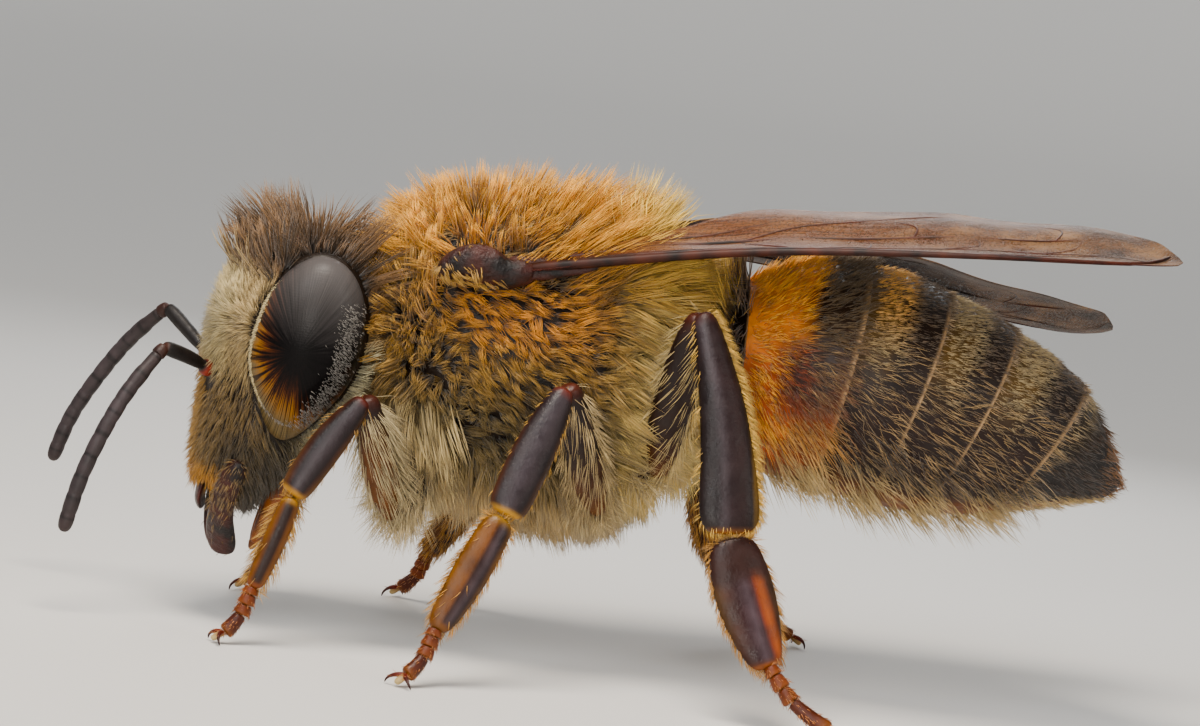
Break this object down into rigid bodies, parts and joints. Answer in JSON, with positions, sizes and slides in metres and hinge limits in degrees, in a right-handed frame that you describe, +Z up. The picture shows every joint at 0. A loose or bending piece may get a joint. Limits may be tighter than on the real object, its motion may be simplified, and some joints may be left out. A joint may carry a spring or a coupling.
{
  "type": "worker honey bee",
  "caption": "Life-size still model of a worker honey bee standing on its feet, furred thorax, banded abdomen, wings laid back over the body.",
  "frame": {"origin": "on the floor under the middle of the whole model's box", "axes": "+X from head to tail, +Y to the bee's right, +Z up"},
  "size_m": [0.0152, 0.0087, 0.0073],
  "materials": {
    "coat": "branched golden-tan hair over dark shell",
    "shell_dark": "dark brown horn-like shell, satin, with short pale hair",
    "shell_orange": "orange horn-like shell, satin, with short pale hair",
    "eye": "glossy purple-black facetted eye, amber at its rim",
    "horn": "glossy dark red-brown horn",
    "feeler": "dull grey-brown, finely pitted",
    "wing": "thin brown translucent membrane with dark veins",
    "leg": "glossy brown-black shell with pale hair fringes",
    "foot": "translucent red-brown shell with orange bristles",
    "tongue": "orange-brown mouthparts, satin"
  },
  "bodies": {
    "root": {"head": "coat", "neck": "shell_dark", "thorax": "coat", "petiole": "shell_dark", "labrum": "horn", "proboscis": "tongue", "abdomen_1": "shell_orange", "abdomen_2": "shell_orange", "abdomen_3": "shell_dark", "abdomen_4": "shell_dark", "abdomen_5": "shell_dark", "abdomen_6": "shell_dark", "eye_left": "eye", "mandible_left": "horn", "scape_left": "feeler", "flagellum_left": "feeler", "tegula_left": "horn", "forewing_left": "wing", "hindwing_left": "wing", "fore_coxa_left": "leg", "fore_femur_left": "leg", "fore_tibia_left": "leg", "fore_basitarsus_left": "foot", "fore_tarsus_left": "foot", "mid_coxa_left": "leg", "mid_femur_left": "leg", "mid_tibia_left": "leg", "mid_basitarsus_left": "foot", "mid_tarsus_left": "foot", "hind_coxa_left": "leg", "hind_femur_left": "leg", "hind_tibia_left": "leg", "hind_basitarsus_left": "foot", "hind_tarsus_left": "foot", "eye_right": "eye", "mandible_right": "horn", "scape_right": "feeler", "flagellum_right": "feeler", "tegula_right": "horn", "forewing_right": "wing", "hindwing_right": "wing", "fore_coxa_right": "leg", "fore_femur_right": "leg", "fore_tibia_right": "leg", "fore_basitarsus_right": "foot", "fore_tarsus_right": "foot", "mid_coxa_right": "leg", "mid_femur_right": "leg", "mid_tibia_right": "leg", "mid_basitarsus_right": "foot", "mid_tarsus_right": "foot", "hind_coxa_right": "leg", "hind_femur_right": "leg", "hind_tibia_right": "leg", "hind_basitarsus_right": "foot", "hind_tarsus_right": "foot"}
  },
  "joints": []
}
